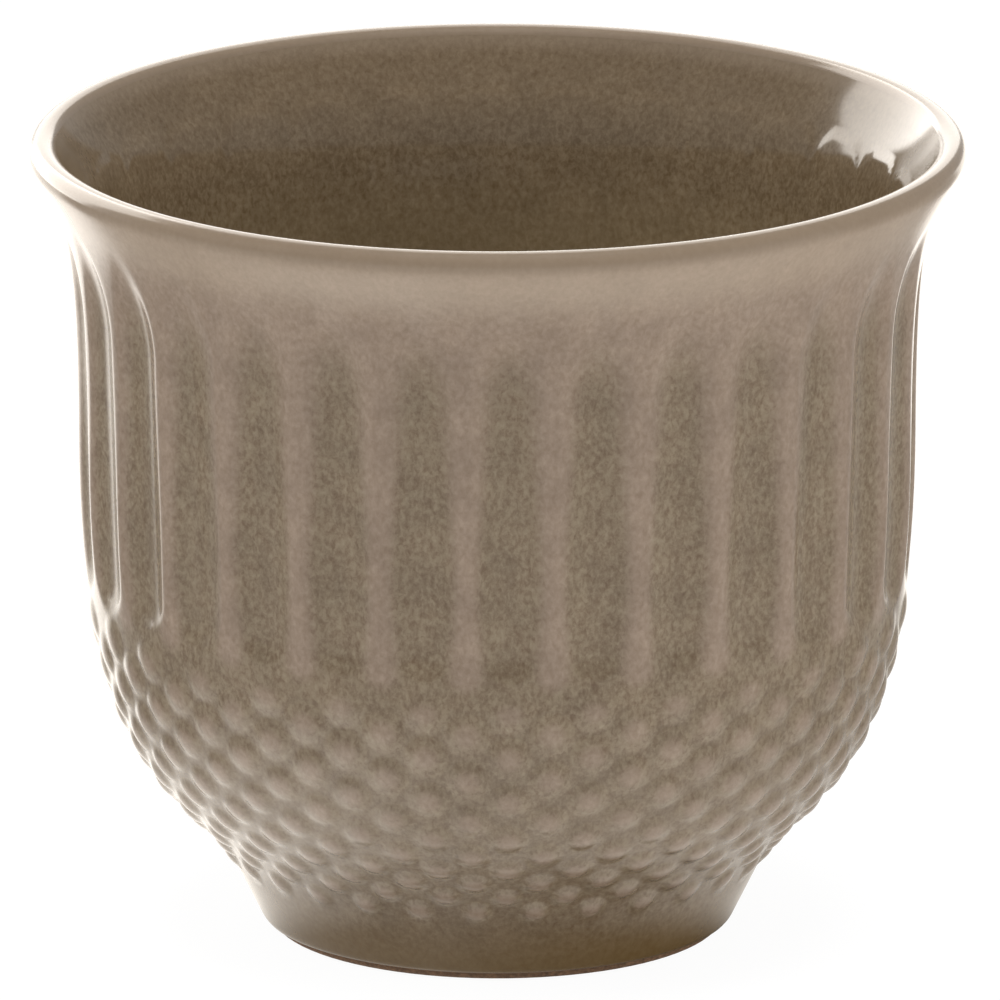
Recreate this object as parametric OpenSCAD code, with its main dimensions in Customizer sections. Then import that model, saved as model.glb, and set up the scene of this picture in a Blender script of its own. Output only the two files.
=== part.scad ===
// Small handleless cup in glazed stoneware: a bowl on a short tapered foot, upright flutes
// under a flared lip, and staggered rows of raised beads from the flutes down to the foot.
// The cup stands on Z = 0 with its axis on Z. The middle of a flute faces -Y.

/* [Cup] */
// Height from the table to the top of the lip
cup_h = 74.4; // [70:0.1:80]
// Outside diameter at the widest part of the lip
rim_d = 86; // [83:0.1:89]
// Outside diameter of the upright wall, from ridge to ridge
wall_d = 76.9; // [74.5:0.1:79]
// Height at which the wall stands upright
wall_z = 46.5; // [44:0.1:49]
// Thickness of the wall, glaze included
wall_t = 3.4; // [3:0.1:4]

/* [Lip] */
// Thickness of the rounded lip, glaze included
lip_t = 2.7; // [2.4:0.05:3]
// Lean of the flare from upright where it meets the lip
flare_lean = 27.3; // [22:0.1:32]
// Share of the flare's height over which the wall stays nearly upright
flare_rise_share = 0.79; // [0.65:0.01:0.88]
// Share of the flare's height over which it keeps the lean of the lip
flare_run_share = 0.255; // [0.15:0.005:0.35]

/* [Foot and bowl] */
// Outside diameter of the foot at the table, glaze included
foot_d = 42.4; // [40:0.1:45]
// Outside diameter of the waist between the foot and the bowl
waist_d = 48.5; // [46.5:0.1:51]
// Height of the waist
waist_z = 6.2; // [5.4:0.1:7]
// Share of the bowl's height over which it sets out in line with the foot
bowl_run_share = 0.211; // [0.16:0.001:0.25]
// Share of the bowl's height over which it comes up nearly upright into the wall
bowl_rise_share = 0.831; // [0.74:0.001:0.89]
// Width of the foot ring at the table
foot_ring_w = 3.4; // [2.6:0.1:4.5]
// Rounding of the foot ring's two edges
foot_edge_r = 0.6; // [0.3:0.05:0.9]
// Depth of the recess inside the foot ring
recess_depth = 2.6; // [1.5:0.1:3.2]
// Rounding where the recess meets the foot ring
recess_r = 1.6; // [0.8:0.1:2]
// Thickness of the floor over the recess, glaze included
floor_t = 4.6; // [3.8:0.1:6]

/* [Inside] */
// Radius of the flat middle of the floor
floor_flat = 8; // [5:0.5:12]
// Share of the way from the flat middle to the inner wall over which the floor stays nearly level
floor_run_share = 0.63; // [0.48:0.01:0.7]
// Share of the inner bowl's height over which the wall comes up nearly upright
inner_rise_share = 0.687; // [0.56:0.001:0.79]

/* [Glaze] */
// Thickness of the glaze where it is thinnest
glaze_t = 0.35; // [0.25:0.05:0.45]
// Height above the table at which the glaze on the foot stops
glaze_stop = 0.6; // [0.6:0.1:1.5]

/* [Flutes] */
// Number of flutes round the cup
flute_count = 30; // [24:6:30]
// Depth of a flute
flute_depth = 1; // [0.7:0.05:1.1]
// Width of the ridge between two flutes
ridge_w = 0.9; // [0.5:0.05:1.5]
// Lean of a flute from upright
flute_lean = 1.9; // [1.4:0.1:2.3]
// Height at which a flute starts to run out towards the beads
flute_low_z = 35.6; // [35:0.1:37]
// How far the flare has left the wall where a flute starts to bend out with it
flute_bend_out = 0.3; // [0.1:0.01:0.4]
// Distance below the top of the lip at which a flute ends
flute_top_drop = 6.8; // [5.5:0.1:8.5]

/* [Beads] */
// Number of rows of beads
bead_rows = 12; // [8:1:12]
// Height of the top row
bead_top_z = 30; // [28.5:0.1:30.2]
// Distance from row to row along the wall
bead_pitch = 2.36; // [2.2:0.02:2.4]
// Diameter of a bead in the top row
bead_top_d = 3.8; // [3.2:0.1:3.8]
// Diameter of a bead in the bottom row
bead_low_d = 2.6; // [2:0.1:2.8]
// How far a bead of the top row stands proud
bead_top_h = 0.6; // [0.4:0.05:0.7]
// How far a bead of the bottom row stands proud
bead_low_h = 0.4; // [0.3:0.05:0.5]

/* [Hidden] */
$fn = 96;
// Straight steps in each curve and each rounding of the outline
curve_steps = 12;
round_steps = 8;
// Sides of a bead where it is drawn with flats
bead_sides = 24;
// How deep the flat back of a bead lies under the surface
bead_sink = glaze_t / 2;
// Flutes that one cut makes at a time, a third of a turn apart
flutes_at_once = 3;
// Turn that brings the middle of the first flute to -Y
first_turn = -90;
// How far round its ball end the clay follows a flute
ball_turn = 45;

flute_step = 360 / flute_count;

function unit(v) = v / norm(v);
function on_curve(a, b, c, d, t) =
    pow(1 - t, 3) * a + 3 * pow(1 - t, 2) * t * b + 3 * (1 - t) * t * t * c + pow(t, 3) * d;
// Points of a smooth curve from a to d, which leaves a towards b and reaches d from c
function curve(a, b, c, d) =
    [for (i = [0:curve_steps]) on_curve(a, b, c, d, i / curve_steps)];
// Points of an arc about c, from the angle from to the angle to
function arc(c, r, from, to) =
    [for (i = [0:round_steps]) let (a = from + (to - from) * i / round_steps) c + r * [cos(a), sin(a)]];
// A line of points moved sideways by d, to the left of its way
function way(p, i) = unit(p[min(i + 1, len(p) - 1)] - p[max(i - 1, 0)]);
function across(p, i) = [-way(p, i)[1], way(p, i)[0]];
function shifted(p, d) = [for (i = [0:len(p) - 1]) p[i] + d * across(p, i)];
function after_first(p) = [for (i = [1:len(p) - 1]) p[i]];
function before_last(p) = [for (i = [0:len(p) - 2]) p[i]];
function last(p) = p[len(p) - 1];
function backwards(p) = [for (i = [len(p) - 1:-1:0]) p[i]];
function above(p, z) = [for (q = p) if (q[1] > z) q];
function below(p, z) = [for (q = p) if (q[1] < z) q];
// Radius of a line of points at the height z
function radius_at(p, z) = lookup(z, [for (q = p) [q[1], q[0]]]);

// The finished outside, from the foot up to the lip
foot = [foot_d / 2, 0];
waist = [waist_d / 2, waist_z];
foot_way = unit(waist - foot);
wall = [wall_d / 2, wall_z];
bowl_height = wall_z - waist_z;
lip_r = lip_t / 2;
lip = [rim_d / 2 - lip_r, cup_h - lip_r];
lip_way = [sin(flare_lean), cos(flare_lean)];
lip_outside = lip + lip_r * [cos(flare_lean), -sin(flare_lean)];
lip_inside = lip - lip_r * [cos(flare_lean), -sin(flare_lean)];
flare_height = lip_outside[1] - wall_z;
flare_rise = [0, flare_rise_share * flare_height];
flare_run = flare_run_share * flare_height * lip_way;
glaze_edge = foot + foot_way * glaze_stop / foot_way[1];
bowl_line = curve(waist, waist + bowl_run_share * bowl_height * foot_way,
                  wall - [0, bowl_rise_share * bowl_height], wall);
flare_line = curve(wall, wall + flare_rise, lip_outside - flare_run, lip_outside);
outer_line = concat([glaze_edge], bowl_line, after_first(flare_line));

// The finished inside, from the middle of the floor up to the lip
floor_z = recess_depth + floor_t;
inner_wall = wall - [wall_t, 0];
inner_low = curve([floor_flat, floor_z],
                  [floor_flat + floor_run_share * (inner_wall[0] - floor_flat), floor_z],
                  inner_wall - [0, inner_rise_share * (wall_z - floor_z)], inner_wall);
function flare_t(i) = wall_t + (lip_t - wall_t) * i / curve_steps;
inner_high = [for (i = [1:curve_steps - 1]) flare_line[i] + flare_t(i) * across(flare_line, i)];
inner_line = concat([[0, floor_z]], inner_low, inner_high, [lip_inside]);

// The bottom of a flute: a ball end, a straight that leans, and a bend that meets the flare
scoop_w = PI * wall_d / flute_count - ridge_w;
flute_r = (scoop_w * scoop_w / 4 + flute_depth * flute_depth) / (2 * flute_depth);
flute_high_z = lookup(wall[0] + flute_bend_out, flare_line);
flute_top_z = cup_h - flute_top_drop;
flute_low = [wall[0] - flute_depth - (wall_z - flute_low_z) * tan(flute_lean), flute_low_z];
flute_side = [cos(flute_lean), -sin(flute_lean)];
flute_up = [sin(flute_lean), cos(flute_lean)];
function leaned(p) = flute_low + p[0] * flute_side + p[1] * flute_up;
straight = (flute_high_z - flute_low_z) / cos(flute_lean);
flute_top = [radius_at(outer_line, flute_top_z), flute_top_z] - flute_low;
bend_out = max(flute_top * flute_side, flute_depth);
bend_rise = flute_top * flute_up - straight;
flute_bend_r = max(flute_r, (bend_out * bend_out + bend_rise * bend_rise) / (2 * bend_out));
flute_turn = asin(bend_rise / flute_bend_r);
flute_line = [for (p = concat(
    arc([flute_r, 0], flute_r, 180 + ball_turn, 180),
    arc([flute_bend_r, straight], flute_bend_r, 180, 180 - flute_turn))) leaned(p)];

// The clay's own outside: one glaze under the finished surface, and one glaze behind the flutes
under_glaze = shifted(outer_line, glaze_t);
flute_back = shifted(flute_line, glaze_t);
clay_line = concat(
    below(under_glaze, flute_back[0][1]),
    [for (p = flute_back) [min(radius_at(under_glaze, p[1]), p[0]), p[1]]],
    above(before_last(under_glaze), last(flute_back)[1]));
clay_lip = arc(lip, lip_r - glaze_t, -flare_lean, 180 - flare_lean);
glaze_lip = arc(lip, lip_r, -flare_lean, 180 - flare_lean);
clay_inner_line = [for (p = before_last(shifted(inner_line, -glaze_t))) [max(p[0], 0), p[1]]];

// The foot ring, from the recess out to the glaze edge
ring_in = foot_d / 2 - glaze_t - foot_ring_w;
ring_out = foot_d / 2 - glaze_t;
clay_recess_z = recess_depth + glaze_t;
recess_line = concat(
    [[0, clay_recess_z]],
    arc([ring_in - recess_r, clay_recess_z - recess_r], recess_r, 90, 0),
    arc([ring_in + foot_edge_r, foot_edge_r], foot_edge_r, 180, 270),
    arc([ring_out - foot_edge_r, foot_edge_r], foot_edge_r, 270, 360));

// The height that parts the fluted wall from the beaded bowl: no flute reaches below it
part_z = flute_low_z - scoop_w / 2 - flute_r * sin(flute_lean);
part_out = [radius_at(outer_line, part_z), part_z];
part_in = [radius_at(clay_line, part_z), part_z];
bowl_points = concat(below(after_first(outer_line), part_z), [part_out]);

// A slice of a ball about the axis, whose side runs from the point a up to the point b
module ball_slice(a, b) {
    centre_z = (b * b - a * a) / (2 * (b[1] - a[1]));
    intersection() {
        translate([0, centre_z]) circle(norm(a - [0, centre_z]));
        translate([0, a[1]]) square([rim_d, b[1] - a[1]]);
    }
}

// The coat on the bowl and the foot, before the beads
module bowl_coat() {
    clay_edge = clay_line[0];
    rotate_extrude()
        difference() {
            union() {
                polygon([[0, clay_edge[1]], clay_edge, glaze_edge, waist, [0, waist_z]]);
                for (i = [1:len(bowl_points) - 1]) ball_slice(bowl_points[i - 1], bowl_points[i]);
            }
            polygon(concat([[0, clay_edge[1]]], below(clay_line, part_z), [part_in, [0, part_z]]));
        }
}

// Length of wall from the glaze edge, for setting rows of beads out along the bowl
function length_to(p, i) = i == 0 ? 0 : length_to(p, i - 1) + norm(p[i] - p[i - 1]);
wall_lengths = [for (i = [0:len(outer_line) - 1]) [length_to(outer_line, i), outer_line[i]]];
function place_at(s) = [for (k = [0, 1]) lookup(s, [for (w = wall_lengths) [w[0], w[1][k]]])];
top_row_length = lookup(bead_top_z, [for (w = wall_lengths) [w[1][1], w[0]]]);

// One bead: a low dome, with a flat back inside the coat
module bead(d, h) {
    dome_r = (d * d / 4 + h * h) / (2 * h);
    rotate_extrude($fn = bead_sides)
        intersection() {
            translate([0, h - dome_r]) circle(dome_r);
            translate([0, -bead_sink]) square([d, h + bead_sink]);
        }
}

// Rows of beads, each half a step round from the one above
module beads() {
    for (row = [0:bead_rows - 1]) {
        share = row / (bead_rows - 1);
        s = top_row_length - row * bead_pitch;
        place = place_at(s);
        slope = place_at(s + bead_pitch / 2) - place_at(s - bead_pitch / 2);
        for (i = [0:flute_count - 1])
            rotate([0, 0, first_turn + (i + row % 2 / 2) * flute_step])
                translate([place[0], 0, place[1]])
                    rotate([0, atan2(slope[1], -slope[0]), 0])
                        bead(bead_top_d + (bead_low_d - bead_top_d) * share,
                             bead_top_h + (bead_low_h - bead_top_h) * share);
    }
}

// The gouge for one flute: round at the bottom, straight up the wall, and bent out at the top,
// where it goes on past the surface, halfway from there to level
module gouge() {
    translate([flute_low[0], 0, flute_low_z])
        rotate([0, flute_lean, 0]) {
            translate([flute_r, 0, 0]) {
                intersection() {
                    sphere(flute_r);
                    translate([-flute_r, -flute_r, -flute_r]) cube([2 * flute_r, 2 * flute_r, flute_r]);
                }
                cylinder(r = flute_r, h = straight);
            }
            translate([flute_bend_r, 0, straight])
                rotate([90, 0, 180])
                    rotate_extrude(angle = (flute_turn + 90) / 2)
                        intersection() {
                            translate([flute_bend_r - flute_r, 0]) circle(flute_r);
                            translate([flute_bend_r - flute_r, -flute_r]) square([flute_r, 2 * flute_r]);
                        }
        }
}

module turned(points) rotate_extrude() polygon(points);

// The coat on the wall and over the lip, cut in small steps, each on what the last one left
module fluted_coat(steps) {
    if (steps == 0)
        turned(concat([part_out], above(before_last(outer_line), part_z), glaze_lip,
                      backwards(clay_lip), backwards(above(clay_line, part_z)), [part_in]));
    else
        difference() {
            fluted_coat(steps - 1);
            for (k = [0:flutes_at_once - 1])
                rotate([0, 0, first_turn + steps * flute_step + k * 360 / flutes_at_once])
                    gouge();
        }
}

module stoneware_body() {
    color("#b48a63")
        turned(concat(recess_line, clay_line, clay_lip, backwards(clay_inner_line)));
}

module outer_glaze() {
    color("#8a7a69") {
        fluted_coat(flute_count / flutes_at_once);
        bowl_coat();
        beads();
    }
}

module liner_glaze() {
    color("#7a6b59")
        turned(concat(clay_inner_line, [last(clay_lip)], backwards(inner_line)));
}

module foot_glaze() {
    color("#7a6b59")
        translate([0, 0, recess_depth]) cylinder(r = ring_in - recess_r, h = glaze_t);
}

stoneware_body();
outer_glaze();
liner_glaze();
foot_glaze();
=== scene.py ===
import math

import bpy
import numpy as np
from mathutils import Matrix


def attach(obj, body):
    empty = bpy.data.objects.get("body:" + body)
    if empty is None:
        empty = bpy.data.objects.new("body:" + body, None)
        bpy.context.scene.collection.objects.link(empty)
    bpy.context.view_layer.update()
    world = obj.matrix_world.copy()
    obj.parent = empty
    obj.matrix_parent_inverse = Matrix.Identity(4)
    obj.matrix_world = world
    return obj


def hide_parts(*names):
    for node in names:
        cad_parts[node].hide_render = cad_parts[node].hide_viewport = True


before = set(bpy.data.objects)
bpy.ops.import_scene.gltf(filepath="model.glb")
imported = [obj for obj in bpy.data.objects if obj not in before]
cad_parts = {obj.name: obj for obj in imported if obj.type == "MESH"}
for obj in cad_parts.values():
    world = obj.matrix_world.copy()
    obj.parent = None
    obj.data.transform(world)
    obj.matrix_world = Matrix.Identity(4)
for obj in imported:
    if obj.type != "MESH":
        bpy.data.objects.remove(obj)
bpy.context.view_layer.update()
mm = 0.001
print("frame loaded")

# the cup's outline in millimetres and degrees, and where its curves pull, in shares
outline = {
    "cupHeight": 74.4, "rimDiameter": 86.0, "lipThickness": 2.7,
    "wallDiameter": 76.9, "wallHeight": 46.5, "wallThickness": 3.4,
    "flareLean": 27.3, "flareRiseShare": 0.79, "flareRunShare": 0.255,
    "footDiameter": 42.4, "waistDiameter": 48.5, "waistHeight": 6.2,
    "bowlRunShare": 0.211, "bowlRiseShare": 0.831,
    "recessDepth": 2.6, "floorThickness": 4.6, "floorFlat": 8.0,
    "floorRunShare": 0.63, "innerRiseShare": 0.687,
    "glaze": 0.35, "glazeStop": 0.6, "backShare": 1.02,
}
backDepth = outline["glaze"] * outline["backShare"]  # a coat's back lies a hair inside the clay


def bezier(a, b, c, d, count=240):
    # cubic curve: each point is a blend of four points, weighted by the four terms of ((1 - t) + t) cubed
    t = np.linspace(0, 1, count)[:, None]
    a, b, c, d = (np.array(p, float) for p in (a, b, c, d))
    return (1 - t) ** 3 * a + 3 * (1 - t) ** 2 * t * b + 3 * (1 - t) * t ** 2 * c + t ** 3 * d


def arcPoints(centre, radius, start, stop, count=60):
    # points on a circle about the centre, from the start angle to the stop angle in degrees
    a = np.radians(np.linspace(start, stop, count))
    return np.array(centre) + radius * np.stack([np.cos(a), np.sin(a)], 1)


def joined(*lines, nearest=1e-6):
    # lines laid end to end, where points nearer than the nearest allowed are one
    points = np.vstack(lines)
    keep = np.r_[True, np.linalg.norm(np.diff(points, axis=0), axis=1) > nearest]
    return points[keep]


def lengthAlong(points):
    # distance from the first point to each point, measured along the line
    return np.r_[0, np.cumsum(np.linalg.norm(np.diff(points, axis=0), axis=1))]


def unit(ways):
    # each direction divided by its own length
    return ways / np.linalg.norm(ways, axis=-1, keepdims=True)


def leftOf(ways):
    # each direction turned a quarter to the left
    return np.stack([-ways[..., 1], ways[..., 0]], -1)


def sampled(points, lengths, step=0.02):
    # places at the given lengths along a line, and normals left of the way from a step behind to one ahead
    along = lengthAlong(points)
    place, ahead, behind = (np.stack([np.interp(lengths + shift, along, points[:, k]) for k in (0, 1)], 1)
                            for shift in (0, step, -step))
    return place, leftOf(unit(ahead - behind))


foot = np.array([outline["footDiameter"] / 2, 0.0])
waist = np.array([outline["waistDiameter"] / 2, outline["waistHeight"]])
footWay = unit(waist - foot)
wall = np.array([outline["wallDiameter"] / 2, outline["wallHeight"]])
lipRadius = outline["lipThickness"] / 2
lipCentre = np.array([outline["rimDiameter"] / 2 - lipRadius, outline["cupHeight"] - lipRadius])
lipStart, lipEnd = -outline["flareLean"], 180 - outline["flareLean"]
lean = math.radians(outline["flareLean"])
lipWay = np.array([math.sin(lean), math.cos(lean)])
lipOutside = lipCentre + lipRadius * np.array([math.cos(lean), -math.sin(lean)])
up = np.array([0.0, 1.0])
glazeEdge = foot + footWay * outline["glazeStop"] / footWay[1]
bowlHeight = wall[1] - waist[1]
flareHeight = lipOutside[1] - wall[1]
flareRise = outline["flareRiseShare"] * flareHeight * up
flareRun = outline["flareRunShare"] * flareHeight * lipWay
bowlLine = bezier(waist, waist + outline["bowlRunShare"] * bowlHeight * footWay,
                  wall - outline["bowlRiseShare"] * bowlHeight * up, wall)
flareLine = bezier(wall, wall + flareRise, lipOutside - flareRun, lipOutside)
outerLine = joined(glazeEdge[None], bowlLine, flareLine)
outsideLine = joined(outerLine, arcPoints(lipCentre, lipRadius, lipStart, lipEnd))

floorHeight = outline["recessDepth"] + outline["floorThickness"]
floorEdge = np.array([outline["floorFlat"], floorHeight])
innerWall = wall - np.array([outline["wallThickness"], 0.0])
floorReach = outline["floorRunShare"] * (innerWall[0] - outline["floorFlat"])
innerRise = outline["innerRiseShare"] * (innerWall[1] - floorHeight)
innerLow = bezier(floorEdge, floorEdge + np.array([floorReach, 0.0]), innerWall - innerRise * up, innerWall)
thickness = np.linspace(outline["wallThickness"], outline["lipThickness"], len(flareLine))[:, None]
innerHigh = flareLine + thickness * leftOf(unit(np.gradient(flareLine, axis=0)))
innerLine = joined(np.array([[0.0, floorHeight]]), innerLow, innerHigh)
print("outline worked out")


def turnedPoints(places, turns):
    # each radius and height carried round the axis through every turn, in metres
    radius, height = places[..., 0], places[..., 1]
    return np.stack([radius * np.cos(turns), radius * np.sin(turns), height], -1) * mm


def acrossColumns(values, columns):
    # what each row has, in every column
    return np.repeat(values[:, None], columns, 1)


def downRows(values, rows):
    # what each column has, in every row
    return np.repeat(values[None], rows, 0)


def makeMesh(name, grid, relief, poles=None, facesOut=True, sharpRows=()):
    # a grid closed round its columns, whose rows close on themselves or in a pole at each end
    rows, columns = grid.shape[:2]
    points = grid.reshape(-1, 3)
    index = np.arange(rows * columns).reshape(rows, columns)
    following = np.roll(index, -1, axis=1)
    triangles = np.zeros((0, 3), int)
    if poles is None:
        index, following = (np.vstack([part, part[:1]]) for part in (index, following))
    else:
        points = np.vstack([points, poles])
        first, last = (np.full(columns, rows * columns + k) for k in (0, 1))
        triangles = np.vstack([np.stack([first, following[0], index[0]], 1),
                               np.stack([last, index[-1], following[-1]], 1)])
    quads = np.stack([index[:-1], following[:-1], following[1:], index[1:]], -1).reshape(-1, 4)
    if not facesOut:
        quads, triangles = quads[:, ::-1], triangles[:, ::-1]
    corners = np.r_[quads.ravel(), triangles.ravel()].astype(np.int32)
    sizes = np.r_[np.full(len(quads), 4), np.full(len(triangles), 3)]
    mesh = bpy.data.meshes.new(name)
    mesh.vertices.add(len(points))
    mesh.vertices.foreach_set("co", points.astype(np.float32).ravel())
    mesh.loops.add(len(corners))
    mesh.loops.foreach_set("vertex_index", corners)
    mesh.polygons.add(len(sizes))
    mesh.polygons.foreach_set("loop_start", np.r_[0, np.cumsum(sizes)[:-1]].astype(np.int32))
    mesh.update(calc_edges=True)
    mesh.polygons.foreach_set("use_smooth", np.ones(len(sizes), bool))
    if sharpRows:
        ends = np.zeros(len(mesh.edges) * 2, np.int32)
        mesh.edges.foreach_get("vertices", ends)
        rowOf = (ends // columns).reshape(-1, 2)
        sharp = mesh.attributes.new("sharp_edge", "BOOLEAN", "EDGE")
        sharp.data.foreach_set("value", (rowOf[:, 0] == rowOf[:, 1]) & np.isin(rowOf[:, 0], sharpRows))
    values = relief.ravel()
    values = np.r_[values, np.full(len(points) - len(values), values[-1])]
    mesh.attributes.new("relief", "FLOAT", "POINT").data.foreach_set("value", values.astype(np.float32))
    mesh.validate()
    piece = bpy.data.objects.new(name, mesh)
    bpy.context.scene.collection.objects.link(piece)
    return piece


def ramp(value, start, stop):
    # 0 before the start, 1 past the stop and straight between them
    return np.clip((value - start) / (stop - start), 0, 1)


def rounded(share):
    # height of a quarter circle over a share of its width
    return np.sqrt(1 - (1 - share) ** 2)


def softLower(a, b, blend):
    # the lower of two heights, with the corner between them rounded over the blend width
    share = np.clip(blend - np.abs(a - b), 0, None) / blend
    return np.minimum(a, b) - share ** 2 * blend / 4


# upright scoops with round bottoms and arched tops, in millimetres and degrees; floorTone of the ridges'
# paleness is left on their bottoms, and topFade of the difference is lost by fadeTo
flutes = {
    "count": 30, "depth": 1.0, "ridgeWidth": 0.9, "lean": 1.9, "lowHeight": 35.6, "highHeight": 58.9,
    "topHeight": 67.6, "ridgeRounding": 0.33,
    "floorTone": 0.08, "topFade": 0.75, "fadeFrom": 53.0, "fadeTo": 67.0,
}
firstTurn = math.radians(-90)  # the middle of the first flute faces -Y
pitch = 2 * math.pi / flutes["count"]
scoopWidth = wall[0] * pitch - flutes["ridgeWidth"]
scoopRadius = (scoopWidth ** 2 / 4 + flutes["depth"] ** 2) / (2 * flutes["depth"])


def fromMiddle(turns):
    # angle from the middle of the nearest flute
    return (turns - firstTurn + pitch / 2) % pitch - pitch / 2


def outerRadiusAt(height):
    # radius of the plain outline at a height
    return np.interp(height, outerLine[:, 1], outerLine[:, 0])


def fluteFloor(height):
    # radius of a flute's bottom: a leaning line that rounds out in a ball end below and in a wide arc above
    slope = math.tan(math.radians(flutes["lean"]))
    lowRadius = wall[0] - flutes["depth"] - (wall[1] - flutes["lowHeight"]) * slope
    rise = flutes["topHeight"] - flutes["highHeight"]
    topRadius = lowRadius + (flutes["topHeight"] - flutes["lowHeight"]) * slope
    reach = max(outerRadiusAt(flutes["topHeight"]) - topRadius, flutes["depth"])
    bend = (reach ** 2 + rise ** 2) / (2 * reach)
    below = np.clip(flutes["lowHeight"] - height, 0, scoopRadius)
    above = np.clip(height - flutes["highHeight"], 0, bend)
    return (lowRadius + (height - flutes["lowHeight"]).clip(0) * slope
            + scoopRadius - np.sqrt(scoopRadius ** 2 - below ** 2)
            + bend - np.sqrt(bend ** 2 - above ** 2))


def fluteRelief(radius, height, turns, outward):
    # depth below the plain surface: the scoop's floor, rising with the square of the distance from its middle
    across = radius * np.sin(fromMiddle(turns))
    scoop = fluteFloor(height) - radius + across ** 2 / 2 * (1 / scoopRadius + 1 / radius)
    return softLower(np.zeros_like(scoop), scoop, flutes["ridgeRounding"]) * outward[..., 0]


# staggered rows of low domes that shrink towards the foot, in millimetres, and how pale their crowns are
beads = {
    "rows": 12, "topHeight": 30.0, "pitch": 2.36,
    "topWidth": 4.5, "lowWidth": 2.9, "topRise": 0.34, "lowRise": 0.4,
    "paler": 0.92, "spread": 0.95, "blendHeight": 3.0,
}


def beadRelief(radius, length, turns):
    # height of the nearest dome of each row: its rise times (1 - the squared share of its half width)
    first = np.interp(beads["topHeight"], outerLine[:, 1], lengthAlong(outerLine))
    relief = np.zeros_like(radius)
    for row in range(beads["rows"]):
        share = row / (beads["rows"] - 1)
        width = beads["topWidth"] + (beads["lowWidth"] - beads["topWidth"]) * share
        rise = beads["topRise"] + (beads["lowRise"] - beads["topRise"]) * share
        middle = first - row * beads["pitch"]
        across = radius * fromMiddle(turns - row % 2 * pitch / 2)
        distance = (across ** 2 + (length - middle) ** 2) / (width / 2) ** 2
        relief = np.maximum(relief, rise * np.clip(1 - distance, 0, 1))
    return relief


def reliefTone(height, turns, outward, proud):
    # 1 on ridges, down to floorTone on a flute's bottom but less near its top; on beads a share of their rise
    raised = np.maximum(height, flutes["lowHeight"])
    carried = fluteRelief(outerRadiusAt(raised), raised, turns, outward) / flutes["depth"]
    fading = 1 - flutes["topFade"] * ramp(height, flutes["fadeFrom"], flutes["fadeTo"])
    onFlutes = 1 + (1 - flutes["floorTone"]) * carried * fading
    onBeads = beads["paler"] * np.clip(proud / beads["topRise"] * beads["spread"], 0, 1)
    below = ramp(height, beads["topHeight"] + beads["blendHeight"], beads["topHeight"])
    return onFlutes * (1 - below) + onBeads * below


def rowLengths(line, spans):
    # lengths along a line for rows of a grid, from spans of (height that it runs up to, step)
    along = lengthAlong(line)
    lengths = [0.0]
    for height, step in spans:
        stop = np.interp(height, line[:, 1], along)
        count = max(1, int(round((stop - lengths[-1]) / step)))
        lengths += list(np.linspace(lengths[-1], stop, count + 1)[1:])
    return np.array(lengths)


# outer coat: columns round the cup, drawn together at the ridges where drawLow and drawHigh let them, and
# steps between rows up the wall and down its back, in millimetres; the glaze thins out over edgeRun at its
# lower edge, and lastTurn is in degrees
coat = {
    "columns": 540, "drawIn": 0.5, "drawLow": (32.0, 37.0), "drawHigh": (71.0, 63.0), "edgeRun": 0.8,
    "steps": [(2.0, 0.25), (7.0, 0.7), (31.5, 0.37), (36.0, 0.4), (57.0, 2.6), (69.0, 0.55),
              (lipOutside[1], 0.7)],
    "backSteps": [(31.0, 4.0), (36.0, 1.2), (57.0, 7.0), (68.0, 1.8)],
    "lipSteps": 16, "lastTurn": 1.0, "backLipSteps": 6,
}


def lipRows():
    # round the lip from outside to inside, with a short last step, and back round the clay under it
    front = arcPoints(lipCentre, lipRadius, lipStart, lipEnd, coat["lipSteps"])[1:-1]
    last = arcPoints(lipCentre, lipRadius, lipEnd - coat["lastTurn"], lipEnd, 2)
    back = arcPoints(lipCentre, lipRadius - outline["glaze"], lipEnd, lipStart, coat["backLipSteps"])
    return np.vstack([front, last, back])


def backRows():
    # down the outline one coat further in, and further in than the bottoms of the flutes
    place, normal = sampled(outsideLine, rowLengths(outerLine, coat["backSteps"])[::-1])
    place = place + normal * backDepth
    place[:, 0] = np.minimum(place[:, 0], fluteFloor(place[:, 1]) - backDepth)
    return place


def makeOuterGlaze():
    # the outline with flutes sunk into it and beads raised on it, over the lip, then back along the clay
    columns = coat["columns"]
    turns = np.linspace(0, 2 * math.pi, columns, endpoint=False)
    lengths = rowLengths(outerLine, coat["steps"])
    place, normal = sampled(outsideLine, lengths)
    radius, height, length, outward = (acrossColumns(part, columns)
                                       for part in (place[:, 0], place[:, 1], lengths, -normal))
    drawn = coat["drawIn"] * ramp(height, *coat["drawLow"]) * ramp(height, *coat["drawHigh"])
    turnGrid = turns + drawn * np.sin(flutes["count"] * (turns - firstTurn)) / flutes["count"]
    sunk = fluteRelief(radius, height, turnGrid, outward)
    proud = beadRelief(radius, length, turnGrid)
    thinned = outline["glaze"] * (rounded(ramp(length, 0, coat["edgeRun"])) - 1)
    outside = np.stack([radius, height], -1) + outward * (sunk + proud + thinned)[..., None]
    rest = np.vstack([lipRows(), backRows()])
    places = np.vstack([outside, acrossColumns(rest, columns)])
    allTurns = np.vstack([turnGrid, downRows(turns, len(rest))])
    relief = np.vstack([reliefTone(height, turnGrid, outward, proud), np.ones((len(rest), columns))])
    innerSeam = len(lengths) + coat["lipSteps"] - 1
    piece = makeMesh("outerGlaze", turnedPoints(places, allTurns), relief, sharpRows=(0, innerSeam))
    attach(piece, "root")
    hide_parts("outer_glaze")
    return piece


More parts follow.
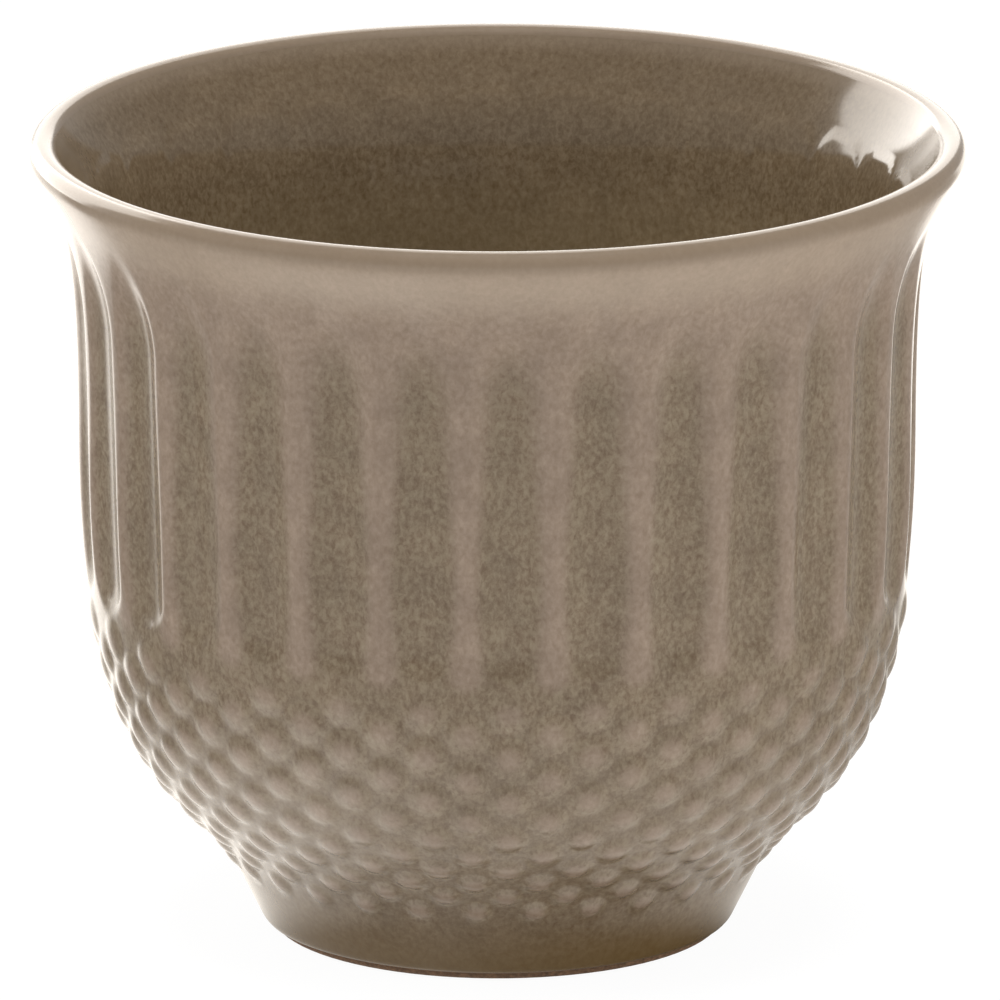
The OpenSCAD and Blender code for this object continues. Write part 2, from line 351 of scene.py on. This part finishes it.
# liner: the flutes show faintly inside as low ribs with crisp arched tops, in millimetres; its rows run from
# near the middle of the floor past two heights to the lip, with a short last step
liner = {
    "columns": 540, "topRise": 0.2, "lowRise": 0.06, "riseFrom": 62.0, "riseTo": 70.0,
    "ribWidthShare": 0.97, "edge": 0.1, "lowHeight": 30.0, "lowFade": 9.0, "topHeight": 69.2, "topFade": 3.2,
    "firstRow": 1.0, "heights": (28.0, 50.0), "rows": (26, 14, 46), "lastStep": 0.03, "backRows": 24,
}


def ribRelief(height, turns):
    # rise of a rib behind each flute: bump / (bump + edge), where the bump is an arch less the squared
    # distance from the middle, so that it is flat across with quick edges; it is higher towards its top
    across = np.abs(fromMiddle(turns)) / (pitch / 2) / liner["ribWidthShare"]
    fadeTop = np.clip((liner["topHeight"] - height) / liner["topFade"], 0, 1)
    fadeLow = np.clip((height - liner["lowHeight"]) / liner["lowFade"], 0, 1)
    bump = np.clip(rounded(fadeTop) * rounded(fadeLow) - across ** 2, 0, None)
    upper = ramp(height, liner["riseFrom"], liner["riseTo"]) ** 2
    rise = liner["lowRise"] + (liner["topRise"] - liner["lowRise"]) * upper
    return rise * bump / (bump + liner["edge"])


def makeLinerGlaze():
    # the inner outline with low ribs raised on it, closed by a back that lies on the clay
    columns = liner["columns"]
    turns = np.linspace(0, 2 * math.pi, columns, endpoint=False)
    along = lengthAlong(innerLine)
    total = along[-1]
    low, high = (np.interp(h, innerLine[:, 1], along) for h in liner["heights"])
    stops = (liner["firstRow"], low, high, total - liner["lastStep"])
    spans = [np.linspace(*span)[1:] for span in zip(stops, stops[1:], liner["rows"])]
    lengths = np.r_[liner["firstRow"], np.concatenate(spans), total]
    place, normal = sampled(innerLine, lengths)
    radius, height, inward = (acrossColumns(part, columns) for part in (place[:, 0], place[:, 1], normal))
    rise = ribRelief(height, turns)
    inside = np.stack([radius, height], -1) + inward * rise[..., None]
    backPlace, backNormal = sampled(innerLine, np.linspace(liner["firstRow"], total, liner["backRows"])[::-1])
    back = acrossColumns(backPlace - backNormal * backDepth, columns)
    places = np.vstack([inside, back])
    relief = np.vstack([rise / liner["topRise"], np.zeros(back.shape[:2])])
    poles = [(0, 0, floorHeight * mm), (0, 0, (floorHeight - outline["glaze"]) * mm)]
    piece = makeMesh("linerGlaze", turnedPoints(places, downRows(turns, len(places))), relief, poles,
                     facesOut=False, sharpRows=(len(lengths) - 1,))
    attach(piece, "root")
    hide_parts("liner_glaze")
    return piece


# glaze in the recess under the foot: the radii of its rings below and above, in millimetres
footPatch = {"radius": 15.7, "lowRings": (4.0, 9.0, 13.0), "topRing": 9.0, "rounding": 0.3, "columns": 144,
             "cornerSteps": 6, "relief": 0.4}


def makeFootGlaze():
    # a flat disc whose lower edge is rounded where the wiped glaze thins out
    columns, rounding = footPatch["columns"], footPatch["rounding"]
    turns = np.linspace(0, 2 * math.pi, columns, endpoint=False)
    low = outline["recessDepth"]
    high = low + outline["glaze"]
    corner = arcPoints((footPatch["radius"] - rounding, low + rounding), rounding, -90, 0,
                       footPatch["cornerSteps"])
    under = [(ring, low) for ring in footPatch["lowRings"]]
    line = np.vstack([under, corner, [(footPatch["radius"], high), (footPatch["topRing"], high)]])
    relief = np.full((len(line), columns), footPatch["relief"])
    poles = [(0, 0, low * mm), (0, 0, high * mm)]
    places = acrossColumns(line, columns)
    piece = makeMesh("footGlaze", turnedPoints(places, downRows(turns, len(line))), relief, poles)
    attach(piece, "root")
    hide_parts("foot_glaze")
    return piece


outerGlaze = makeOuterGlaze()
print("outer glaze made", len(outerGlaze.data.polygons))
linerGlaze = makeLinerGlaze()
print("liner glaze made", len(linerGlaze.data.polygons))
footGlaze = makeFootGlaze()
print("foot glaze made", len(footGlaze.data.polygons))


def linear(text):
    # an sRGB hex colour as the linear red, green, blue and alpha that the shaders take
    parts = [int(text[i:i + 2], 16) / 255 for i in (0, 2, 4)]
    return tuple(p / 12.92 if p <= 0.04045 else ((p + 0.055) / 1.055) ** 2.4 for p in parts) + (1.0,)


def addNode(tree, kind, settings=None, links=None):
    # one node with its settings by property or socket name, and its inputs linked by socket name or number
    node = tree.nodes.new(kind)
    for key, value in (settings or {}).items():
        if isinstance(key, str) and hasattr(node, key):
            setattr(node, key, value)
        else:
            node.inputs[key].default_value = value
    for key, source in (links or {}).items():
        tree.links.new(source, node.inputs[key])
    return node


def emptyTree(owner):
    # the node tree of a material or a world, with nothing in it
    owner.use_nodes = True
    owner.node_tree.nodes.clear()
    return owner.node_tree


# what both glazes share: the noise's values that give the darkest and the palest fleck and cloud, and the
# depth of the dimples in millimetres
mottling = {
    "fleckDetail": 4.0, "fleckRoughness": 0.64, "fleckDistortion": 0.3, "fleckFrom": 0.3, "fleckTo": 0.7,
    "cloudDetail": 2.0, "cloudFrom": 0.32, "cloudTo": 0.68, "dimpleDepth": 0.02, "ior": 1.5,
}


def glazeMaterial(name, look):
    # stoneware glaze: a clear glossy coat over fine mottling, which breaks paler over ridges and beads, with
    # painted light and shade in bands by height
    material = bpy.data.materials.new(name)
    tree = emptyTree(material)
    where = addNode(tree, "ShaderNodeTexCoord").outputs["Object"]
    relief = addNode(tree, "ShaderNodeAttribute", {"attribute_name": "relief"}).outputs["Fac"]
    drawn = addNode(tree, "ShaderNodeMapping", {"Scale": (1, 1, look["streak"])}, {"Vector": where})
    fleck = addNode(tree, "ShaderNodeTexNoise",
                    {"Scale": 1 / (look["speckleSize"] * mm), "Detail": mottling["fleckDetail"],
                     "Roughness": mottling["fleckRoughness"], "Distortion": mottling["fleckDistortion"]},
                    {"Vector": drawn.outputs["Vector"]}).outputs["Fac"]
    cloud = addNode(tree, "ShaderNodeTexNoise",
                    {"Scale": 1 / (look["cloudSize"] * mm), "Detail": mottling["cloudDetail"]},
                    {"Vector": where}).outputs["Fac"]
    fleckShare = addNode(tree, "ShaderNodeMapRange",
                         {"From Min": mottling["fleckFrom"], "From Max": mottling["fleckTo"]},
                         {"Value": fleck})
    cloudShare = addNode(tree, "ShaderNodeMapRange",
                         {"From Min": mottling["cloudFrom"], "From Max": mottling["cloudTo"]},
                         {"Value": cloud})
    hollow, proud = (addNode(tree, "ShaderNodeMix",
                             {"data_type": "RGBA", 6: linear(look[part + "Dark"]),
                              7: linear(look[part + "Pale"])},
                             {0: fleckShare.outputs[0]}) for part in ("hollow", "proud"))
    proudShare = addNode(tree, "ShaderNodeMapRange",
                         {"From Min": look["breakFrom"], "From Max": look["breakTo"],
                          "interpolation_type": "SMOOTHSTEP"}, {"Value": relief})
    body = addNode(tree, "ShaderNodeMix", {"data_type": "RGBA"},
                   {0: proudShare.outputs[0], 6: hollow.outputs[2], 7: proud.outputs[2]})
    clouded = addNode(tree, "ShaderNodeMix",
                      {"data_type": "RGBA", "blend_type": "SOFT_LIGHT", 0: look["cloudAmount"]},
                      {6: body.outputs[2], 7: cloudShare.outputs[0]})
    colour = clouded.outputs[2]
    for pool in look["pools"]:
        share = addNode(tree, "ShaderNodeMapRange",
                        {"From Min": pool["below"], "From Max": 0.0, "To Max": pool["amount"]},
                        {"Value": relief})
        colour = addNode(tree, "ShaderNodeMix", {"data_type": "RGBA", 7: linear(pool["tone"])},
                         {0: share.outputs[0], 6: colour}).outputs[2]
    # bands by height blend in painted light and painted shade
    height = addNode(tree, "ShaderNodeSeparateXYZ", None, {"Vector": where}).outputs["Z"]
    for paintedBand in look["paintedLightBands"]:
        share = addNode(tree, "ShaderNodeMapRange",
                        {"From Min": paintedBand["from"] * mm, "From Max": paintedBand["to"] * mm, "To Max": paintedBand["amount"],
                         "interpolation_type": "SMOOTHSTEP"}, {"Value": height})
        colour = addNode(tree, "ShaderNodeMix", {"data_type": "RGBA", 7: linear(paintedBand["tone"])},
                         {0: share.outputs[0], 6: colour}).outputs[2]
    dimple = addNode(tree, "ShaderNodeBump",
                     {"Strength": look["dimple"], "Distance": mottling["dimpleDepth"] * mm},
                     {"Height": cloud})
    shader = addNode(tree, "ShaderNodeBsdfPrincipled",
                     {"Roughness": look["roughness"], "IOR": mottling["ior"]},
                     {"Base Color": colour, "Normal": dimple.outputs["Normal"]})
    addNode(tree, "ShaderNodeOutputMaterial", None, {"Surface": shader.outputs["BSDF"]})
    return material


# the outside: grey-brown glaze with a greenish fleck, paler where it runs thin over the relief and darker
# where it gathers between beads, with painted bands of light and shade by height; sizes and heights in
# millimetres
outsideLook = {
    "hollowDark": "5C4A38", "hollowPale": "7B6E5A", "proudDark": "736252", "proudPale": "867566",
    "speckleSize": 0.5, "streak": 0.75, "cloudSize": 3.5, "cloudAmount": 0.1,
    "breakFrom": 0.4, "breakTo": 1.0,
    "pools": [{"tone": "47372A", "below": 0.07, "amount": 0.16}],
    # painted shade: darker on the lower bowl, offsetting the table's reflection there
    "paintedLightBands": [{"tone": "503E28", "from": 30.0, "to": 17.0, "amount": 0.2},
              # painted shade: darker on the foot, which faces down to the table
              {"tone": "5C4620", "from": 8.0, "to": 0.3, "amount": 0.75},
              # painted light: paler on the flare under the lip, where the table's bounce falls
              {"tone": "988875", "from": 66.0, "to": 71.0, "amount": 0.45},
              # painted shade: darker on the lip's front
              {"tone": "6E5E4C", "from": 72.0, "to": 73.6, "amount": 0.6}],
    "dimple": 0.2, "roughness": 0.17,
}
# the inside: the same glaze, glossier and a little deeper in tone, with painted bands of light and shade by
# height
insideLook = {
    "hollowDark": "625039", "hollowPale": "86765F", "proudDark": "6A5842", "proudPale": "887861",
    "speckleSize": 0.5, "streak": 0.8, "cloudSize": 4.0, "cloudAmount": 0.1,
    "breakFrom": 0.2, "breakTo": 1.0,
    "pools": [],
    # painted shade: darker towards the top of the inside, flattening how the light falls in
    "paintedLightBands": [{"tone": "54432F", "from": 58.0, "to": 72.0, "amount": 0.5},
              # painted light: paler deeper inside, against the cup's own shade
              {"tone": "A5926F", "from": 64.0, "to": 52.0, "amount": 0.35},
              # painted light: paler at the lip's inner edge, softening its meeting with the lit lip
              {"tone": "8A7A68", "from": 71.9, "to": 73.6, "amount": 0.4}],
    "dimple": 0.2, "roughness": 0.12,
}
outerGlaze.data.materials.append(glazeMaterial("outsideStonewareGlaze", outsideLook))
insideGlaze = glazeMaterial("insideStonewareGlaze", insideLook)
linerGlaze.data.materials.append(insideGlaze)
footGlaze.data.materials.append(insideGlaze)

# bare clay: grain and its depth in millimetres
bareClay = {
    "dark": "4E3826", "pale": "7A5C42",
    "grainSize": 0.35, "grainDetail": 4.0, "grainFrom": 0.3, "grainTo": 0.7,
    "rough": 0.5, "roughDepth": 0.05, "roughness": 0.75, "ior": 1.5,
}


def bareClayMaterial():
    # fired stoneware without glaze: warm brown, matt, with fine dark grains
    material = bpy.data.materials.new("bareFiredStoneware")
    tree = emptyTree(material)
    where = addNode(tree, "ShaderNodeTexCoord").outputs["Object"]
    grain = addNode(tree, "ShaderNodeTexNoise",
                    {"Scale": 1 / (bareClay["grainSize"] * mm), "Detail": bareClay["grainDetail"]},
                    {"Vector": where}).outputs["Fac"]
    share = addNode(tree, "ShaderNodeMapRange",
                    {"From Min": bareClay["grainFrom"], "From Max": bareClay["grainTo"]}, {"Value": grain})
    colour = addNode(tree, "ShaderNodeMix",
                     {"data_type": "RGBA", 6: linear(bareClay["dark"]), 7: linear(bareClay["pale"])},
                     {0: share.outputs[0]})
    rough = addNode(tree, "ShaderNodeBump",
                    {"Strength": bareClay["rough"], "Distance": bareClay["roughDepth"] * mm},
                    {"Height": grain})
    shader = addNode(tree, "ShaderNodeBsdfPrincipled",
                     {"Roughness": bareClay["roughness"], "IOR": bareClay["ior"]},
                     {"Base Color": colour.outputs[2], "Normal": rough.outputs["Normal"]})
    addNode(tree, "ShaderNodeOutputMaterial", None, {"Surface": shader.outputs["BSDF"]})
    return material


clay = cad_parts["stoneware_body"]
clay.data.materials.clear()
clay.data.materials.append(bareClayMaterial())
print("materials made")


def placed(name, data, aim, target):
    # an object that looks at the target: azimuth from the front and elevation in degrees, distance in metres
    a = math.radians(aim["azimuth"])
    e = math.radians(aim["elevation"])
    back = np.array([math.sin(a) * math.cos(e), -math.cos(a) * math.cos(e), math.sin(e)])
    thing = bpy.data.objects.new(name, data)
    bpy.context.scene.collection.objects.link(thing)
    thing.location = target + back * aim["distance"]
    thing.rotation_mode = "XYZ"
    thing.rotation_euler = (math.pi / 2 - e, 0, a)
    return thing


# a long lens from a little above, turned a touch to the left; lens, sensor, target and shift in millimetres,
# and distance, near and far in metres
view = {
    "azimuth": -1.7, "elevation": 15.25, "distance": 2.58, "lens": 1011.0, "sensor": 36.0,
    "targetHeight": 39.86, "sideShift": 0.23, "near": 0.05, "far": 50.0,
}


def makeCamera():
    # the target is moved sideways, across the line of sight
    a = math.radians(view["azimuth"])
    side = np.array([math.cos(a), math.sin(a), 0]) * view["sideShift"]
    data = bpy.data.cameras.new("camera")
    data.lens = view["lens"]
    data.sensor_width = view["sensor"]
    data.clip_start = view["near"]
    data.clip_end = view["far"]
    target = (np.array([0, 0, view["targetHeight"]]) + side) * mm
    bpy.context.scene.camera = placed("camera", data, view, target)


white = (1, 1, 1, 1)
warmWhite = (1.0, 0.95, 0.88, 1.0)  # light through cloth diffusers

# the table: a white top lit from under it, with painted levels of light and shade that only the gloss sees,
# where 1 is
# white: a painted shadow by the foot up to shadeTo, then a painted bright ring, and a plain level from
# farFrom on; places in mm
table = {
    "halfSize": 3000.0, "drop": 0.02, "white": 0.82, "glow": 0.5, "seenWhite": 0.9,
    "forward": 6.0, "shade": 0.08, "shadeTo": 19.0, "ring": 1.6, "ringFrom": 26.0, "ringTo": 40.0,
    "far": 0.9, "farFrom": 80.0,
    "sideShare": 0.6, "sideFrom": -30.0, "sideTo": 0.0,  # weaker beside and behind the cup
    "leftGlow": 1.1, "leftFrom": -10.0, "leftTo": -30.0,  # added near the cup at its left
    "wedge": 2.4, "wedgeFrom": -40.0, "wedgeTo": 20.0,  # a beam of light behind the cup
    "spread": 0.95, "leftward": 0.22, "shift": 12.0,
}


def ringLevel(tree, where, parts):
    # smooth steps of the distance from a point a little in front, times the side's share, plus the left glow
    nearer = addNode(tree, "ShaderNodeVectorMath", {"operation": "ADD", 1: (0, table["forward"] * mm, 0)},
                     {0: where})
    distance = addNode(tree, "ShaderNodeVectorMath", {"operation": "LENGTH"},
                       {0: nearer.outputs[0]}).outputs["Value"]
    rising = addNode(tree, "ShaderNodeMapRange",
                     {"From Min": table["shadeTo"] * mm, "From Max": table["ringFrom"] * mm,
                      "To Min": table["shade"], "To Max": table["ring"],
                      "interpolation_type": "SMOOTHSTEP"}, {"Value": distance})
    falling = addNode(tree, "ShaderNodeMapRange",
                      {"From Min": table["ringTo"] * mm, "From Max": table["farFrom"] * mm,
                       "To Min": table["ring"], "To Max": table["far"],
                       "interpolation_type": "SMOOTHSTEP"}, {"Value": distance})
    ring = addNode(tree, "ShaderNodeMath", {"operation": "MINIMUM"},
                   {0: rising.outputs[0], 1: falling.outputs[0]})
    sides = addNode(tree, "ShaderNodeMapRange",
                    {"From Min": table["sideFrom"] * mm, "From Max": table["sideTo"] * mm, "To Min": 1.0,
                     "To Max": table["sideShare"]}, {"Value": parts.outputs["Y"]})
    dimmed = addNode(tree, "ShaderNodeMath", {"operation": "MULTIPLY"},
                     {0: ring.outputs[0], 1: sides.outputs[0]})
    near = addNode(tree, "ShaderNodeMapRange",
                   {"From Min": table["farFrom"] * mm, "From Max": table["ringTo"] * mm}, {"Value": distance})
    left = addNode(tree, "ShaderNodeMapRange",
                   {"From Min": table["leftFrom"] * mm, "From Max": table["leftTo"] * mm,
                    "To Max": table["leftGlow"]}, {"Value": parts.outputs["X"]})
    return addNode(tree, "ShaderNodeMath", {"operation": "MULTIPLY_ADD"},
                   {0: near.outputs[0], 1: left.outputs[0], 2: dimmed.outputs[0]})


def wedgeLevel(tree, parts):
    # a widening beam behind the cup, turned left: it grows with spread * y - |x + leftward * y + shift|
    turned = addNode(tree, "ShaderNodeMath", {"operation": "MULTIPLY_ADD", 1: table["leftward"]},
                     {0: parts.outputs["Y"], 2: parts.outputs["X"]})
    shifted = addNode(tree, "ShaderNodeMath", {"operation": "ADD", 1: table["shift"] * mm},
                      {0: turned.outputs[0]})
    aside = addNode(tree, "ShaderNodeMath", {"operation": "ABSOLUTE"}, {0: shifted.outputs[0]})
    behind = addNode(tree, "ShaderNodeMath", {"operation": "MULTIPLY", 1: table["spread"]},
                     {0: parts.outputs["Y"]})
    inner = addNode(tree, "ShaderNodeMath", {"operation": "SUBTRACT"},
                    {0: behind.outputs[0], 1: aside.outputs[0]})
    return addNode(tree, "ShaderNodeMapRange",
                   {"From Min": table["wedgeFrom"] * mm, "From Max": table["wedgeTo"] * mm,
                    "To Max": table["wedge"]}, {"Value": inner.outputs[0]})


def tableMaterial():
    # white acrylic lit from under: it keeps a soft shadow, looks nearly white, and gloss sees painted levels
    # of light and shade
    material = bpy.data.materials.new("whiteTable")
    tree = emptyTree(material)
    diffuse = addNode(tree, "ShaderNodeBsdfDiffuse", {"Color": (table["white"],) * 3 + (1,)})
    glow = addNode(tree, "ShaderNodeEmission", {"Color": white, "Strength": table["glow"]})
    lit = addNode(tree, "ShaderNodeAddShader", None, {0: diffuse.outputs[0], 1: glow.outputs[0]})
    where = addNode(tree, "ShaderNodeTexCoord").outputs["Object"]
    parts = addNode(tree, "ShaderNodeSeparateXYZ", None, {"Vector": where})
    ring = ringLevel(tree, where, parts)
    wedge = wedgeLevel(tree, parts)
    level = addNode(tree, "ShaderNodeMath", {"operation": "MAXIMUM"},
                    {0: ring.outputs[0], 1: wedge.outputs[0]})
    mirrored = addNode(tree, "ShaderNodeEmission", {"Color": warmWhite}, {"Strength": level.outputs[0]})
    path = addNode(tree, "ShaderNodeLightPath")
    glossy = addNode(tree, "ShaderNodeMixShader", None,
                     {0: path.outputs["Is Glossy Ray"], 1: lit.outputs[0], 2: mirrored.outputs[0]})
    plain = addNode(tree, "ShaderNodeEmission", {"Color": white, "Strength": 1.0})
    seen = addNode(tree, "ShaderNodeMath", {"operation": "MULTIPLY", 1: table["seenWhite"]},
                   {0: path.outputs["Is Camera Ray"]})
    mixed = addNode(tree, "ShaderNodeMixShader", None,
                    {0: seen.outputs[0], 1: glossy.outputs[0], 2: plain.outputs[0]})
    addNode(tree, "ShaderNodeOutputMaterial", None, {"Surface": mixed.outputs[0]})
    return material


def makeFloor():
    # a square table top, a hair below the foot ring, so that their faces don't coincide
    half = table["halfSize"] * mm
    top = -table["drop"] * mm
    mesh = bpy.data.meshes.new("floor")
    mesh.from_pydata([(-half, -half, top), (half, -half, top), (half, half, top), (-half, half, top)], [],
                     [(0, 1, 2, 3)])
    mesh.materials.append(tableMaterial())
    floor = bpy.data.objects.new("floor", mesh)
    bpy.context.scene.collection.objects.link(floor)


# two big soft boxes that show in the gloss alone, and even lamps that light the colour alone;
# azimuth from the camera and elevation in degrees, distance and size in metres
lamps = [
    {"name": "leftBox", "gloss": True, "azimuth": -139, "elevation": 21, "distance": 0.9,
     "width": 0.73, "height": 0.8, "watts": 9.6},
    {"name": "backBox", "gloss": True, "azimuth": -178, "elevation": 32, "distance": 1.1,
     "width": 0.76, "height": 1.1, "watts": 6.4},
    {"name": "leftLamp", "gloss": False, "azimuth": -72, "elevation": 34, "distance": 1.2,
     "width": 0.7, "height": 0.7, "watts": 4.6},
    {"name": "rightLamp", "gloss": False, "azimuth": 72, "elevation": 8, "distance": 1.3,
     "width": 0.8, "height": 0.8, "watts": 8.4},
    {"name": "topLamp", "gloss": False, "azimuth": 0, "elevation": 86, "distance": 1.2,
     "width": 0.8, "height": 0.8, "watts": 12.0},
]
lampTarget = 40.0  # height that the lamps look at, in millimetres


def makeLamps():
    # one rectangular lamp each, which the camera doesn't see
    for lamp in lamps:
        data = bpy.data.lights.new(lamp["name"], "AREA")
        data.shape = "RECTANGLE"
        data.size, data.size_y = lamp["width"], lamp["height"]
        data.energy = lamp["watts"]
        data.color = (warmWhite if lamp["gloss"] else white)[:3]
        aim = {**lamp, "azimuth": lamp["azimuth"] + view["azimuth"]}
        piece = placed(lamp["name"], data, aim, np.array([0, 0, lampTarget * mm]))
        piece.visible_camera = False
        piece.visible_glossy = lamp["gloss"]
        piece.visible_diffuse = not lamp["gloss"]


# the room round the cup: a bright cove behind it, more to the left, and a dimmer room in front
room = {"front": 0.42, "cove": 0.95, "coveFrom": 0.6, "coveTo": 1.05, "leftward": 0.6}


def makeWorld():
    # brightness by direction: a smooth step of y - leftward * x, from the room's front to the cove behind
    world = bpy.data.worlds.new("studio")
    bpy.context.scene.world = world
    tree = emptyTree(world)
    path = addNode(tree, "ShaderNodeLightPath")
    heading = addNode(tree, "ShaderNodeTexCoord").outputs["Generated"]
    parts = addNode(tree, "ShaderNodeSeparateXYZ", None, {"Vector": heading})
    toward = addNode(tree, "ShaderNodeMath", {"operation": "MULTIPLY_ADD", 1: -room["leftward"]},
                     {0: parts.outputs["X"], 2: parts.outputs["Y"]})
    level = addNode(tree, "ShaderNodeMapRange",
                    {"From Min": room["coveFrom"], "From Max": room["coveTo"],
                     "To Min": room["front"], "To Max": room["cove"],
                     "interpolation_type": "SMOOTHSTEP"}, {"Value": toward.outputs[0]})
    walls = addNode(tree, "ShaderNodeBackground", {"Color": white}, {"Strength": level.outputs[0]})
    seen = addNode(tree, "ShaderNodeBackground", {"Color": white, "Strength": 1.0})
    mixed = addNode(tree, "ShaderNodeMixShader", None,
                    {0: path.outputs["Is Camera Ray"], 1: walls.outputs[0], 2: seen.outputs[0]})
    addNode(tree, "ShaderNodeOutputWorld", None, {"Surface": mixed.outputs[0]})


makeCamera()
makeFloor()
makeLamps()
makeWorld()
bpy.context.scene.view_settings.view_transform = "Standard"
print("studio set")
